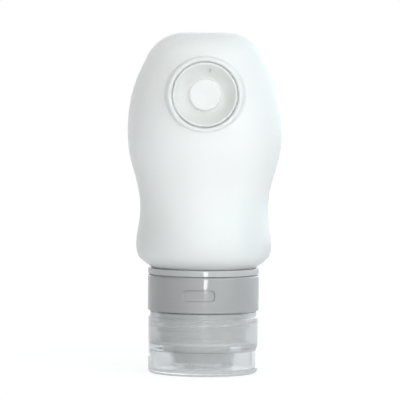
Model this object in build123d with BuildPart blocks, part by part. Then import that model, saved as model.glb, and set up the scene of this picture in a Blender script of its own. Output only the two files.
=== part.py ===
from build123d import *

import os
from math import cos, radians, sin

# A squeeze bottle of soft silicone that stands upside down on its flip lid.
# Millimetres. The origin is on the floor below the middle of the lid, +Z is up,
# the suction cup faces -Y and the thumb notch of the lid faces +X.

os.makedirs("parts", exist_ok=True)

# Clearances and overruns
overrun = 1.0              # a cutting shape runs this far past the face it opens
seat_gap = 0.05            # two faces that are pressed together
running_gap = 0.15         # round a piece that turns
soft_gap = 0.1             # between the silicone and the hard collar
parting_gap = 0.15         # between the closed lid and the cap
collar_gap = 0.3           # between the cap's rim and the collar above it

# Whole bottle
bottle_height = 90.0
closure_radius = 14.5      # outside of the lid and the cap; the radii inside it follow from it

# Flip lid
lid_height = 6.2
lid_wall = 1.2
lid_plate = 1.2
lid_edge_round = 0.9
plug_radius = 3.15         # the ring that closes the spout's orifice
plug_wall = 0.8
plug_engagement = 0.4
thumb_depth = 0.6
thumb_height = 4.6
thumb_width = 9.0
thumb_slope_height = 1.3   # the sloped cut above it, in the cap's lower edge

# Living hinge on the left
hinge_width = 6.5
hinge_thickness = 0.35
hinge_reach = 1.5          # how far the strap laps over the lid, and over the cap
hinge_recess = 0.5         # depth of the flat it lies on
hinge_margin = 0.25        # the flat is this much larger than the strap

# Screw cap
deck_wall = 1.4
skirt_wall = 1.65
skirt_height = 8.65
rim_height = 1.3
rim_inset = 0.4
rim_wall = 0.6
spout_inset = 5.8          # from the cap's outside to the spout's
spout_tier_height = 2.25   # upper, wider tier of the spout
spout_step = 0.5           # the lower tier is this much smaller in radius
spout_wall = 0.9           # of the lower tier
spout_floor = 1.2
spout_floor_gap = 0.4      # between the spout and the lid's plate
orifice_radius = 3.5

# Valve and its snap ring, inside the spout
valve_rim_height = 1.2
valve_rim_width = 1.95
membrane_thickness = 0.5
slit_length = 5.0
slit_width = 0.15
retainer_height = 1.2
retainer_width = 1.8
snap_height = 0.4
snap_depth = 0.2

# Seal washer
seal_thickness = 0.8
seal_side_gap = 0.45       # between the washer and the cap's bore

# Silicone neck
neck_wall = 1.75
lip_width = 1.15           # the lip stands out from the neck by this
lip_thickness = 1.1
bead_depth = 1.05          # the bead that locks the neck in the collar
bead_height = 3.0
bead_rise = 2.9            # above the collar's drum face

# Collar
spigot_wall = 1.2
flange_height = 1.6
catch_height = 0.6         # small ridge that keeps the label ring on
catch_depth = 0.3
catch_rise = 0.7           # above the collar's drum face

# Screw thread, right-handed
thread_pitch = 2.5
thread_depth = 0.9
thread_root_width = 1.3
thread_crest_width = 0.6
thread_engagement = 0.6
thread_end_margin = 0.05
thread_bury = 0.15         # the thread's root goes this far into its wall
collar_thread_turns = 1.5
cap_thread_start = 60.0    # degrees along the helix
cap_thread_end = 360.0

# Label ring
ring_height = 9.5
ring_wall = 1.35
ring_proud = 0.2           # the ring and the flange stand out from the cap by this
seam_gap = 0.12
window_width = 8.7
window_height = 3.0
window_round = 1.2
window_depth = 0.45
window_rise = 4.6          # middle of the window above the ring's lower edge
window_turn = -5.0         # degrees from the front

# Silicone body
head_width = 40.8
head_depth = 34.8
body_wall = 2.2
head_round_share = 0.1772  # rounding of the closed end, as a share of the body's height
hollow_round = 2.8         # rounding at the bottom of the hollow

# Cross sections of the body, as shares of its height above the collar, of half the
# head's width and of half the head's depth
section_shares = [
    (0.085, 0.877, 0.966),
    (0.170, 0.855, 0.931),
    (0.268, 0.831, 0.897),
    (0.363, 0.877, 0.920),
    (0.468, 0.966, 0.975),
    (0.589, 1.000, 1.000),
    (0.694, 0.975, 0.985),
    (0.798, 0.893, 0.925),
    (0.898, 0.755, 0.805),
    (1.000, 0.608, 0.660),
]
shoulder_shares = [
    (0.000, 0.681, 0.782),
    (0.0126, 0.728, 0.828),
    (0.027, 0.792, 0.891),
    (0.0496, 0.850, 0.945),
]
hollow_bottom_shares = (0.000, 0.870, 0.960)

# Pocket for the suction cup, in a frame of its own that leans back with the body
cup_level_share = 0.738    # of the body's height above the collar
cup_tilt = 6.0             # degrees
pocket_radius = 8.6
pocket_depth = 3.0
pocket_wall = 1.8
pocket_rim_width = 1.3
pocket_rim_flare = 1.2     # the ring round the pocket widens by this much at its foot
pocket_rim_depth = 4.0
pocket_rim_proud = 0.3     # in front of the body at the ring's lowest point

# Mushroom stud, part of the silicone
stud_neck_radius = 2.6
stud_head_radius = 4.1
stud_sink = 0.1            # the head's face lies this far below the pocket's rim
stud_round = 0.35
stud_dish_radius = 2.9
stud_dish_depth = 0.2

# Suction cup
cup_side_gap = 0.2
cup_proud = 0.2
cup_edge = 0.35
cup_lip_width = 0.5        # flat ring that meets the wall
cup_hub_radius = 4.7
cup_hub_thickness = 1.5
cup_hub_gap = 0.1          # in front of and behind the hub
cup_bore_gap = 0.1
cup_curve_share = 0.34     # how far the dish has risen half-way out
gate_radius = 0.3          # moulding gate mark on the cup's face
gate_rise = 0.95
gate_distance = 6.6
gate_angle = 79.0          # degrees from +X

# Levels above the floor
deck_low = lid_height + parting_gap
deck_top = deck_low + deck_wall
hinge_level = lid_height + parting_gap / 2
skirt_top = deck_low + skirt_height
cap_top = skirt_top + rim_height
spout_low = lid_plate + spout_floor_gap
spout_tier_low = deck_low - spout_tier_height
valve_low = spout_low + spout_floor + seat_gap
valve_top = valve_low + valve_rim_height
retainer_low = valve_top + seat_gap
retainer_top = retainer_low + retainer_height
seal_low = deck_top + seat_gap
seal_top = seal_low + seal_thickness
lip_low = seal_top + seat_gap
lip_top = lip_low + lip_thickness
sleeve_low = lip_top + seat_gap
drum_low = cap_top + collar_gap
ring_top = drum_low + ring_height
flange_low = ring_top + seam_gap
flange_top = flange_low + flange_height
bead_low = drum_low + bead_rise
bead_top = bead_low + bead_height
catch_low = drum_low + catch_rise
body_low = flange_top + soft_gap
body_height = bottle_height - body_low
head_round = body_height * head_round_share
cup_level = body_low + body_height * cup_level_share

# Radii of the closure, each from the one outside it
cap_bore = closure_radius - skirt_wall
thread_crest = cap_bore - running_gap * 2
cap_thread_crest = thread_crest - thread_engagement
spigot_radius = thread_crest - thread_depth
sleeve_bore = spigot_radius - spigot_wall
neck_radius = sleeve_bore - soft_gap
neck_bore = neck_radius - neck_wall
lip_radius = neck_radius + lip_width
bead_radius = neck_radius + bead_depth
ring_radius = closure_radius + ring_proud
ring_bore = ring_radius - ring_wall
drum_radius = ring_bore - running_gap
rim_radius = closure_radius - rim_inset
hinge_flat = closure_radius - hinge_recess
thumb_flat = closure_radius - thumb_depth
spout_radius = closure_radius - spout_inset
spout_bore = spout_radius - spout_step - spout_wall

# Other radii
valve_radius = spout_bore - running_gap
retainer_radius = spout_bore - seat_gap
snap_radius = retainer_radius + snap_depth
cup_radius = pocket_radius - cup_side_gap
cup_bore = stud_neck_radius + cup_bore_gap
pocket_rim_radius = pocket_radius + pocket_rim_width

# The two helices lie half a pitch apart
thread_start = sleeve_low + thread_root_width / 2 + thread_end_margin
cap_helix_start = thread_start + thread_pitch / 2

# The pocket's frame: its origin lies in the plane of the pocket's rim
cup_front = head_depth / 2 + pocket_rim_proud - pocket_rim_radius * sin(radians(cup_tilt))
cup_plane = Plane(
    origin=(0, -cup_front, cup_level),
    x_dir=(1, 0, 0),
    z_dir=(0, -cos(radians(cup_tilt)), sin(radians(cup_tilt))),
)
cup_axis = Axis(cup_plane.origin, cup_plane.z_dir)
cup_section = Plane(origin=cup_plane.origin, x_dir=(1, 0, 0), z_dir=-cup_plane.y_dir)

# Heights in the pocket's frame, outward from the rim
pocket_floor = -pocket_depth
hub_back = pocket_floor + cup_hub_gap
hub_front = hub_back + cup_hub_thickness
stud_underside = hub_front + cup_hub_gap
stud_face = -stud_sink


def face_between(left, right, low, high, mode=Mode.ADD):
    """Put a rectangle in the sketch in hand, such as half the section of a plain ring."""
    with Locations(((left + right) / 2, (low + high) / 2)):
        Rectangle(right - left, high - low, mode=mode)


def corners_near(*points):
    """Return the corners of the sketch in hand that lie nearest to the points."""
    return [vertices().sort_by_distance(point)[0] for point in points]


def body_sections(shares, skin):
    """Return cross sections of the silicone body, drawn in by skin all round."""
    sections = []
    for height_share, width_share, depth_share in shares:
        level = body_low + body_height * height_share
        level = min(max(level, body_low + skin), bottle_height - skin)
        with BuildSketch(Plane.XY.offset(level), mode=Mode.PRIVATE) as section:
            Ellipse(head_width / 2 * width_share - skin, head_depth / 2 * depth_share - skin)
        sections.append(section.sketch)
    return sections


def thread_ridge(root, crest, helix_start, start_angle, end_angle):
    """Return a helical ridge that stands between the radii root and crest."""
    low = helix_start + thread_pitch * start_angle / 360
    rise = thread_pitch * (end_angle - start_angle) / 360
    with BuildPart(mode=Mode.PRIVATE) as ridge:
        with BuildLine():
            helix = Helix(thread_pitch, rise, root, center=(0, 0, low))
        with BuildSketch(Plane.XZ):
            with BuildLine():
                Polyline(
                    (root, low - thread_root_width / 2),
                    (crest, low - thread_crest_width / 2),
                    (crest, low + thread_crest_width / 2),
                    (root, low + thread_root_width / 2),
                    close=True,
                )
            make_face()
        sweep(path=helix, is_frenet=True)
    return ridge.part.rotate(Axis.Z, start_angle)


# Hollow of the silicone body with the neck's bore, less the walls of the pocket
with BuildPart() as body_hollow:
    loft(body_sections([hollow_bottom_shares] + section_shares, body_wall))
    fillet(body_hollow.edges().group_by(Axis.Z)[-1], head_round - body_wall)
    fillet(body_hollow.edges().group_by(Axis.Z)[0], hollow_round)
    with BuildSketch(Plane.XY.offset(lip_low - overrun)):
        Circle(neck_bore)
    extrude(amount=body_low + body_wall - lip_low + overrun * 2)
    with BuildSketch(cup_plane.offset(pocket_floor - pocket_wall)):
        Circle(pocket_radius + pocket_wall)
    extrude(amount=pocket_depth + pocket_wall + overrun, mode=Mode.SUBTRACT)

# Silicone body: one moulding with its pocket, stud, neck and lip
with BuildPart() as bottle_body:
    loft(body_sections(shoulder_shares + section_shares, 0))
    fillet(bottle_body.edges().group_by(Axis.Z)[-1], head_round)
    crest = pocket_rim_width / 2
    with BuildSketch(cup_plane.offset(-crest)):
        Circle(pocket_radius + crest)
    extrude(amount=overrun * 2, mode=Mode.SUBTRACT)
    with BuildSketch(cup_section):
        with BuildLine():
            Polyline(
                (pocket_radius, -crest),
                (0, -crest),
                (0, -pocket_rim_depth),
                (pocket_rim_radius + pocket_rim_flare, -pocket_rim_depth),
                (pocket_rim_radius, -crest),
            )
            ThreePointArc(
                (pocket_rim_radius, -crest),
                (pocket_radius + crest, 0),
                (pocket_radius, -crest),
            )
        make_face()
    revolve(axis=cup_axis)
    with BuildSketch(cup_plane.offset(pocket_floor)):
        Circle(pocket_radius)
    extrude(amount=pocket_depth + overrun * 2, mode=Mode.SUBTRACT)
    with BuildSketch(Plane.XZ):
        face_between(0, neck_radius, lip_low, body_low + body_wall)
        face_between(0, lip_radius, lip_low, lip_top)
        face_between(0, bead_radius, bead_low, bead_top)
    revolve(axis=Axis.Z)
    add(body_hollow.part, mode=Mode.SUBTRACT)
    with BuildSketch(cup_section):
        face_between(0, stud_neck_radius, pocket_floor - pocket_wall / 2, stud_underside)
        with BuildLine():
            Polyline(
                (0, stud_underside),
                (stud_head_radius, stud_underside),
                (stud_head_radius, stud_face),
                (stud_dish_radius, stud_face),
                (0, stud_face - stud_dish_depth),
                close=True,
            )
        make_face()
        fillet(
            corners_near((stud_head_radius, stud_underside), (stud_head_radius, stud_face)),
            stud_round,
        )
    revolve(axis=cup_axis)
bottle_body.part.label = "bottle_body"

# Suction cup: a clear ring, dished to the front, that the stud's head holds
with BuildPart() as suction_cup:
    with BuildSketch(cup_section):
        with BuildLine():
            lip_inner = cup_radius - cup_lip_width
            edge_low = cup_proud - cup_edge
            back_rise = (edge_low - hub_back) * cup_curve_share
            front_rise = (cup_proud - hub_front) * cup_curve_share
            Polyline(
                (cup_hub_radius, hub_front),
                (cup_bore, hub_front),
                (cup_bore, hub_back),
                (cup_hub_radius, hub_back),
            )
            ThreePointArc(
                (cup_hub_radius, hub_back),
                ((cup_hub_radius + cup_radius) / 2, hub_back + back_rise),
                (cup_radius, edge_low),
            )
            Polyline((cup_radius, edge_low), (cup_radius, cup_proud), (lip_inner, cup_proud))
            ThreePointArc(
                (lip_inner, cup_proud),
                ((cup_hub_radius + lip_inner) / 2, hub_front + front_rise),
                (cup_hub_radius, hub_front),
            )
        make_face()
    revolve(axis=cup_axis)
    with BuildSketch(cup_plane.offset(hub_front)):
        with PolarLocations(gate_distance, 1, start_angle=gate_angle):
            Circle(gate_radius)
    extrude(amount=gate_rise)
suction_cup.part.label = "suction_cup"

# Collar: threaded spigot, drum that the label ring turns on, and flange
collar_thread = thread_ridge(
    spigot_radius - thread_bury, thread_crest, thread_start, 0, 360 * collar_thread_turns
)
with BuildPart() as neck_collar:
    with BuildSketch(Plane.XZ):
        face_between(sleeve_bore, spigot_radius, sleeve_low, flange_top)
        face_between(sleeve_bore, drum_radius, drum_low, flange_top)
        face_between(sleeve_bore, ring_radius, flange_low, flange_top)
        with BuildLine():
            Polyline(
                (drum_radius, catch_low),
                (drum_radius + catch_depth, catch_low + catch_height / 2),
                (drum_radius, catch_low + catch_height),
                close=True,
            )
        make_face()
        face_between(
            neck_radius,
            bead_radius + soft_gap,
            bead_low - soft_gap,
            bead_top + soft_gap,
            mode=Mode.SUBTRACT,
        )
    revolve(axis=Axis.Z)
    add(collar_thread)
neck_collar.part.label = "neck_collar"

# The window's outline through the front of a shell as deep as the window
with BuildPart() as window_cut:
    with BuildSketch(Plane.XY.offset(drum_low)):
        Circle(ring_radius + overrun)
        Circle(ring_radius - window_depth, mode=Mode.SUBTRACT)
    extrude(amount=ring_height)
    with BuildSketch(Plane.XZ):
        with Locations((0, drum_low + window_rise)):
            RectangleRounded(window_width, window_height, window_round)
    extrude(amount=ring_radius + overrun * 2, mode=Mode.INTERSECT)

# Label ring, snapped over the collar's catch
with BuildPart() as label_ring:
    with BuildSketch(Plane.XZ):
        face_between(ring_bore, ring_radius, drum_low, ring_top)
        with BuildLine():
            Polyline(
                (ring_bore, catch_low - running_gap),
                (ring_bore + catch_depth, catch_low + catch_height / 2),
                (ring_bore, catch_low + catch_height + running_gap),
                close=True,
            )
        make_face(mode=Mode.SUBTRACT)
    revolve(axis=Axis.Z)
    add(window_cut.part.rotate(Axis.Z, window_turn), mode=Mode.SUBTRACT)
label_ring.part.label = "label_ring"

# Seal washer between the cap's deck and the silicone lip
with BuildPart() as seal_washer:
    with BuildSketch(Plane.XZ):
        face_between(neck_bore, cap_bore - seal_side_gap, seal_low, seal_top)
    revolve(axis=Axis.Z)
seal_washer.part.label = "seal_washer"

# Screw cap: skirt with its thread, deck and two-tier spout
cap_thread = thread_ridge(
    cap_bore + thread_bury, cap_thread_crest, cap_helix_start, cap_thread_start, cap_thread_end
)
with BuildPart() as cap_body:
    with BuildSketch(Plane.XZ):
        face_between(0, closure_radius, deck_low, deck_top)
        face_between(cap_bore, closure_radius, deck_low, skirt_top)
        face_between(rim_radius - rim_wall, rim_radius, deck_top, cap_top)
        face_between(0, spout_radius, spout_tier_low, deck_top)
        face_between(0, spout_radius - spout_step, spout_low, deck_top)
        face_between(0, spout_bore, spout_low + spout_floor, deck_top, mode=Mode.SUBTRACT)
        face_between(0, orifice_radius, spout_low, deck_top, mode=Mode.SUBTRACT)
        face_between(
            spout_bore,
            snap_radius,
            retainer_low + (retainer_height - snap_height) / 2 - seat_gap,
            retainer_low + (retainer_height + snap_height) / 2 + seat_gap,
            mode=Mode.SUBTRACT,
        )
    revolve(axis=Axis.Z)
    add(cap_thread)
    with BuildSketch(Plane.XZ):
        with BuildLine():
            Polyline(
                (thumb_flat, deck_low - overrun),
                (thumb_flat, deck_low),
                (closure_radius, deck_low + thumb_slope_height),
                (closure_radius + overrun, deck_low + thumb_slope_height),
                (closure_radius + overrun, deck_low - overrun),
                close=True,
            )
        make_face()
    extrude(amount=thumb_width / 2, both=True, mode=Mode.SUBTRACT)
    with BuildSketch(Plane.XZ):
        face_between(
            -closure_radius - overrun,
            -hinge_flat,
            deck_low - overrun,
            hinge_level + hinge_reach + hinge_margin,
        )
    extrude(amount=closure_radius, both=True, mode=Mode.SUBTRACT)
cap_body.part.label = "cap_body"

# Valve: soft disc with a cross slit in its membrane
with BuildPart() as valve:
    membrane_low = valve_low + (valve_rim_height - membrane_thickness) / 2
    with BuildSketch(Plane.XZ):
        face_between(valve_radius - valve_rim_width, valve_radius, valve_low, valve_top)
        face_between(0, valve_radius - valve_rim_width, membrane_low, membrane_low + membrane_thickness)
    revolve(axis=Axis.Z)
    with BuildSketch(Plane.XY.offset(valve_low)):
        Rectangle(slit_length, slit_width)
        Rectangle(slit_width, slit_length)
    extrude(amount=valve_rim_height, mode=Mode.SUBTRACT)
valve.part.label = "valve"

# Snap ring that holds the valve in the spout
with BuildPart() as valve_retainer:
    with BuildSketch(Plane.XZ):
        face_between(retainer_radius - retainer_width, retainer_radius, retainer_low, retainer_top)
        face_between(
            retainer_radius - retainer_width,
            snap_radius - seat_gap,
            retainer_low + (retainer_height - snap_height) / 2,
            retainer_low + (retainer_height + snap_height) / 2,
        )
    revolve(axis=Axis.Z)
valve_retainer.part.label = "valve_retainer"

# Flip lid with the plug for the orifice
with BuildPart() as flip_lid:
    with BuildSketch(Plane.XZ):
        face_between(0, closure_radius, 0, lid_height)
        face_between(0, closure_radius - lid_wall, lid_plate, lid_height, mode=Mode.SUBTRACT)
        fillet(corners_near((closure_radius, 0)), lid_edge_round)
        with BuildLine():
            Polyline(
                (plug_radius - plug_wall, lid_plate),
                (plug_radius, lid_plate),
                (plug_radius - plug_wall / 2, spout_low + plug_engagement),
                (plug_radius - plug_wall, spout_low + plug_engagement),
                close=True,
            )
        make_face()
    revolve(axis=Axis.Z)
    with BuildSketch(Plane.XZ):
        face_between(thumb_flat, closure_radius + overrun, lid_height - thumb_height, lid_height + overrun)
    extrude(amount=thumb_width / 2, both=True, mode=Mode.SUBTRACT)
    with BuildSketch(Plane.XZ):
        face_between(
            -closure_radius - overrun,
            -hinge_flat,
            hinge_level - hinge_reach - hinge_margin,
            lid_height + overrun,
        )
    extrude(amount=closure_radius, both=True, mode=Mode.SUBTRACT)
flip_lid.part.label = "flip_lid"

# Strap of the living hinge, on the flats of lid and cap
with BuildPart() as hinge_strap:
    with BuildSketch(Plane.XZ):
        face_between(
            -hinge_flat - hinge_thickness,
            -hinge_flat,
            hinge_level - hinge_reach,
            hinge_level + hinge_reach,
        )
    extrude(amount=hinge_width / 2, both=True)
hinge_strap.part.label = "hinge_strap"

pieces = [
    bottle_body,
    suction_cup,
    neck_collar,
    label_ring,
    seal_washer,
    cap_body,
    valve,
    valve_retainer,
    flip_lid,
    hinge_strap,
]
for piece in pieces:
    export_step(piece.part, f"parts/{piece.part.label}.step")
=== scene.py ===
import logging
import math
from dataclasses import dataclass
from enum import Enum
from typing import Any, Sequence

import bmesh
import bpy
from mathutils import Matrix, Vector


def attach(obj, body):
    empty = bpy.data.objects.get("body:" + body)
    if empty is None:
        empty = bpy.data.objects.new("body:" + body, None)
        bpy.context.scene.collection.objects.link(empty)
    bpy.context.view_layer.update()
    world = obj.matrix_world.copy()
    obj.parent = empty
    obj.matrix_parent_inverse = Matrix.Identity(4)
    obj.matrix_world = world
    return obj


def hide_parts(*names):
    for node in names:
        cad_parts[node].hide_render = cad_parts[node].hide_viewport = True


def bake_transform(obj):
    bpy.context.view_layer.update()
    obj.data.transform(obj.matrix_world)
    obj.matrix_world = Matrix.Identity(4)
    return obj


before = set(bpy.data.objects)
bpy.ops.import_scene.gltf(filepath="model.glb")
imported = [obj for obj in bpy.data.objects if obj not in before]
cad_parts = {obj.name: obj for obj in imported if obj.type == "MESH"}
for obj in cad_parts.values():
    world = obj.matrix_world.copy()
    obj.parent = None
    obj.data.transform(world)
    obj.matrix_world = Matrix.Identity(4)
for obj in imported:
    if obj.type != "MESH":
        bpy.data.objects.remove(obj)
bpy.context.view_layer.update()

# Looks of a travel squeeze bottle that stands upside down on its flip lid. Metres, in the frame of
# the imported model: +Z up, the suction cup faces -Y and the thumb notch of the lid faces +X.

LOG = logging.getLogger("bottle")
MM = 0.001
TURN = 2 * math.pi

Colour = tuple[float, float, float]
Point = tuple[float, float]


class Body(Enum):
    """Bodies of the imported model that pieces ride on."""

    BOTTLE = "bottle"
    RING = "ring"
    CUP = "cup"
    CAP = "cap"
    LID = "lid"


class Slot(Enum):
    """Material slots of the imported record."""

    SILICONE = "milky_silicone"
    VINYL = "clear_vinyl"
    CLEAR = "clear_plastic"
    GREY_CLEAR = "grey_clear_plastic"
    WHITE_SILICONE = "white_silicone"
    WHITE_PLASTIC = "white_plastic"


class Side(Enum):
    """Sides of the closure that have a flat: the hinge's and the thumb notch's."""

    HINGE = -1.0
    THUMB = 1.0


class Graph:
    """A node tree under construction, with short calls for its nodes, links and maths."""

    def __init__(self, tree: bpy.types.NodeTree) -> None:
        """Take the tree to build in.

        Args:
            tree: A shader, world or geometry node tree.
        """
        self.tree = tree

    def node(self, kind: str, inputs: dict[Any, Any] | None = None, **settings: Any) -> bpy.types.Node:
        """Add a node.

        Args:
            kind: The node's type name.
            inputs: Values or output sockets for its inputs, by name or number.
            settings: Its own properties.

        Returns:
            The new node.
        """
        made = self.tree.nodes.new(kind)
        for name, value in settings.items():
            setattr(made, name, value)
        for key, value in (inputs or {}).items():
            self.feed(made.inputs[key], value)
        return made

    def feed(self, socket: bpy.types.NodeSocket, value: Any) -> None:
        """Link an output socket to an input, or set the input's own value."""
        if isinstance(value, bpy.types.NodeSocket):
            self.tree.links.new(value, socket)
        else:
            socket.default_value = value

    def math(self, operation: str, *values: Any) -> bpy.types.NodeSocket:
        """Add a Math node.

        Args:
            operation: The node's operation.
            values: Up to three numbers or sockets.

        Returns:
            The result's socket.
        """
        made = self.node("ShaderNodeMath", operation=operation)
        for socket, value in zip(made.inputs, values):
            self.feed(socket, value)
        return made.outputs[0]

    def length(self, x: Any, y: Any) -> bpy.types.NodeSocket:
        """Return the length of a flat vector's two parts."""
        squares = self.math("ADD", self.math("MULTIPLY", x, x), self.math("MULTIPLY", y, y))
        return self.math("SQRT", squares)

    def smooth_step(self, value: Any, low: Any, high: Any) -> bpy.types.NodeSocket:
        """Return a socket that runs smoothly from 0 where value is low to 1 where it is high."""
        made = self.node(
            "ShaderNodeMapRange",
            {"Value": value, "From Min": low, "From Max": high},
            interpolation_type="SMOOTHSTEP",
        )
        return made.outputs[0]

    def split(self, vector: Any) -> tuple[bpy.types.NodeSocket, ...]:
        """Return the three parts of a vector."""
        return tuple(self.node("ShaderNodeSeparateXYZ", {0: vector}).outputs)

    def join(self, x: Any, y: Any, z: Any) -> bpy.types.NodeSocket:
        """Return a vector made of three numbers."""
        return self.node("ShaderNodeCombineXYZ", {0: x, 1: y, 2: z}).outputs[0]

    def blend(self, share: Any, first: Any, second: Any) -> bpy.types.NodeSocket:
        """Add a mix of two colours.

        Args:
            share: How much of the second, from 0 to 1.
            first: A colour or a colour socket.
            second: Another.

        Returns:
            The mixed colour's socket.
        """
        mix = self.node("ShaderNodeMix", {"Factor": share}, data_type="RGBA")
        for socket, colour in ((mix.inputs[6], first), (mix.inputs[7], second)):
            self.feed(socket, (*colour, 1.0) if isinstance(colour, tuple) else colour)
        return mix.outputs[2]


# Finishes

NOISE_RANGE = (0.3, 0.7)


@dataclass(frozen=True)
class Finish:
    """What every finish shares: a name, and a material with a Principled shader."""

    name: str

    def material(self) -> bpy.types.Material:
        """Return the material, built on the first call."""
        found = bpy.data.materials.get(self.name)
        if found is not None:
            return found
        made = bpy.data.materials.new(self.name)
        made.use_nodes = True
        graph = Graph(made.node_tree)
        made.node_tree.nodes.clear()
        shader = graph.node("ShaderNodeBsdfPrincipled")
        graph.node("ShaderNodeOutputMaterial", {"Surface": shader.outputs[0]})
        self.dress(graph, shader)
        return made

    def dress(self, graph: Graph, shader: bpy.types.Node) -> None:
        """Set the shader's sockets and add the nodes that feed it.

        Args:
            graph: The material's node tree.
            shader: Its Principled node.
        """
        raise NotImplementedError

    def fill(self, graph: Graph, tint: Colour, density: float) -> None:
        """Let the material's inside take up light, so that thick places are darker.

        Args:
            graph: The material's node tree.
            tint: The colour that it leaves.
            density: How strongly it takes up the rest, per metre.
        """
        if density <= 0:
            return
        inside = graph.node("ShaderNodeVolumeAbsorption", {"Color": (*tint, 1.0), "Density": density})
        output = next(n for n in graph.tree.nodes if n.type == "OUTPUT_MATERIAL")
        graph.feed(output.inputs["Volume"], inside.outputs[0])

    def place(self, graph: Graph) -> bpy.types.NodeSocket:
        """Return the coordinates that the pattern follows."""
        return graph.node("ShaderNodeTexCoord").outputs["Object"]

    def noise(self, graph: Graph, grains: float, octaves: float = 2.0) -> bpy.types.NodeSocket:
        """Add a noise pattern.

        Args:
            graph: The material's node tree.
            grains: How many of its coarsest grains there are per metre.
            octaves: How much finer detail it has.

        Returns:
            A socket that varies about 0.5.
        """
        made = graph.node(
            "ShaderNodeTexNoise", {"Vector": self.place(graph), "Scale": grains, "Detail": octaves}
        )
        return made.outputs[0]

    def between(self, graph: Graph, value: Any, low: float, high: float) -> bpy.types.NodeSocket:
        """Return a noise pattern's middle range spread from low to high."""
        start, end = NOISE_RANGE
        made = graph.node(
            "ShaderNodeMapRange",
            {"Value": value, "From Min": start, "From Max": end, "To Min": low, "To Max": high},
        )
        return made.outputs[0]

    def bump(self, graph: Graph, pattern: Any, strength: float, depth: float) -> bpy.types.Node:
        """Add a Bump node.

        Args:
            graph: The material's node tree.
            pattern: The height's socket.
            strength: The node's strength.
            depth: The pattern's height in metres.

        Returns:
            The node.
        """
        return graph.node(
            "ShaderNodeBump", {"Height": pattern, "Strength": strength, "Distance": depth}
        )


@dataclass(frozen=True)
class ClearPlastic(Finish):
    """Clear moulded plastic: a glossy skin over a hazy, slightly tinted body with faint flow marks."""

    tint: Colour
    haze: Colour
    smooth: float
    worn: float
    refraction: float
    ripple: float
    clarity: float
    gloss: float
    body_tint: Colour = (1.0, 1.0, 1.0)
    body_density: float = 0.0
    flow_grains: float = 140.0
    skin_grains: float = 1900.0
    flow_depth: float = 0.2 * MM
    coat_rough: float = 0.04

    def dress(self, graph: Graph, shader: bpy.types.Node) -> None:
        """Set the shader's sockets and add the nodes that feed it."""
        flow = self.noise(graph, self.flow_grains, octaves=3.0)
        grain = self.noise(graph, self.skin_grains, octaves=4.0)
        colour = graph.blend(self.between(graph, flow, 0.0, 1.0), self.tint, self.haze)
        rough = self.between(graph, grain, self.smooth, self.worn)
        wave = self.bump(graph, flow, self.ripple, self.flow_depth)
        graph.feed(shader.inputs["Base Color"], colour)
        graph.feed(shader.inputs["Roughness"], rough)
        graph.feed(shader.inputs["Normal"], wave.outputs[0])
        shader.inputs["IOR"].default_value = self.refraction
        shader.inputs["Transmission Weight"].default_value = self.clarity
        shader.inputs["Coat Weight"].default_value = self.gloss
        shader.inputs["Coat Roughness"].default_value = self.coat_rough
        self.fill(graph, self.body_tint, self.body_density)


@dataclass(frozen=True)
class MilkySilicone(Finish):
    """Translucent silicone with a fine frosted skin, slow clouds in its colour, and painted shade that
    darkens it towards the neck.
    """

    pale: Colour
    deep: Colour
    see_through: float
    reach: float
    smooth: float
    worn: float
    # Heights where the painted shade towards the neck starts and where it is full.
    shade_start_height: float
    shade_full_height: float
    cloud_share: float = 0.15
    cloud_grains: float = 70.0
    pore_grains: float = 1100.0
    pore_strength: float = 0.12
    pore_depth: float = 0.05 * MM
    frost_grains: float = 4200.0
    frost_strength: float = 0.25
    frost_depth: float = 0.02 * MM
    refraction: float = 1.41
    sheen: float = 0.35
    sheen_rough: float = 0.3

    def tone(self, graph: Graph) -> bpy.types.NodeSocket:
        """Return the colour: slow clouds, and painted shade that darkens it towards the neck."""
        clouds = self.between(graph, self.noise(graph, self.cloud_grains), 0.0, 1.0)
        height = graph.split(self.place(graph))[2]
        # Painted shade: below the first height the colour darkens towards the deep colour, fully at the
        # second height near the neck.
        thick = graph.smooth_step(height, self.shade_start_height, self.shade_full_height)
        cloudy = graph.math("MULTIPLY", clouds, self.cloud_share)
        share = graph.math("MULTIPLY_ADD", thick, 1.0 - self.cloud_share, cloudy)
        return graph.blend(share, self.pale, self.deep)

    def dress(self, graph: Graph, shader: bpy.types.Node) -> None:
        """Set the shader's sockets and add the nodes that feed it."""
        frost = self.noise(graph, self.frost_grains, octaves=3.0)
        pores = self.noise(graph, self.pore_grains)
        graph.feed(shader.inputs["Base Color"], self.tone(graph))
        graph.feed(shader.inputs["Roughness"], self.between(graph, pores, self.smooth, self.worn))
        soft = self.bump(graph, pores, self.pore_strength, self.pore_depth)
        skin = self.bump(graph, frost, self.frost_strength, self.frost_depth)
        graph.feed(skin.inputs["Normal"], soft.outputs[0])
        graph.feed(shader.inputs["Normal"], skin.outputs[0])
        shader.inputs["IOR"].default_value = self.refraction
        shader.inputs["Transmission Weight"].default_value = self.see_through
        shader.inputs["Subsurface Weight"].default_value = 1.0
        shader.inputs["Subsurface Radius"].default_value = (1.0, 1.0, 1.0)
        shader.inputs["Subsurface Scale"].default_value = self.reach
        shader.inputs["Sheen Weight"].default_value = self.sheen
        shader.inputs["Sheen Roughness"].default_value = self.sheen_rough


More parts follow.
